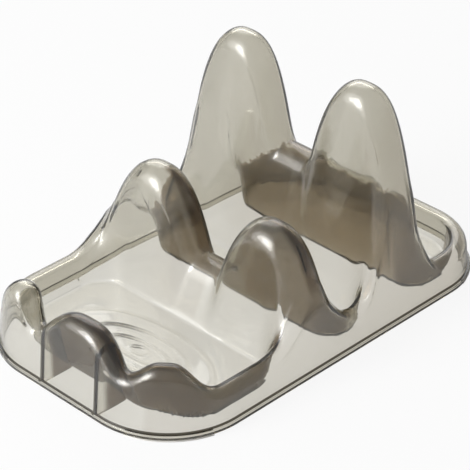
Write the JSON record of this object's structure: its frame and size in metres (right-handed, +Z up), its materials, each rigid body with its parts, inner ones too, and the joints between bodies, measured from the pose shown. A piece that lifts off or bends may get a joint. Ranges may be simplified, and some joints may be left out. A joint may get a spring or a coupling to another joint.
{
  "type": "spoon and lid rest",
  "caption": "Clear smoke moulded kitchen rest: notched front ridge and shallow bay for spoons, a bay between rows of tall rounded peaks for pot lids, open underneath.",
  "frame": {"origin": "On the table under the middle of the base.", "axes": "+Z up. -Y is the front, where spoon handles lie over the notched ridge; +Y is the back. +X is the right-hand side seen from the front."},
  "size_m": [0.137, 0.22, 0.1121],
  "materials": {
    "smoke_plastic": "clear smoke tint, gloss",
    "clear_silicone": "soft matte"
  },
  "bodies": {
    "root": {"moulded_body": "smoke_plastic", "grip_pad_front_left": "clear_silicone", "grip_pad_front_right": "clear_silicone", "grip_pad_rear_left": "clear_silicone", "grip_pad_rear_right": "clear_silicone"}
  },
  "joints": []
}
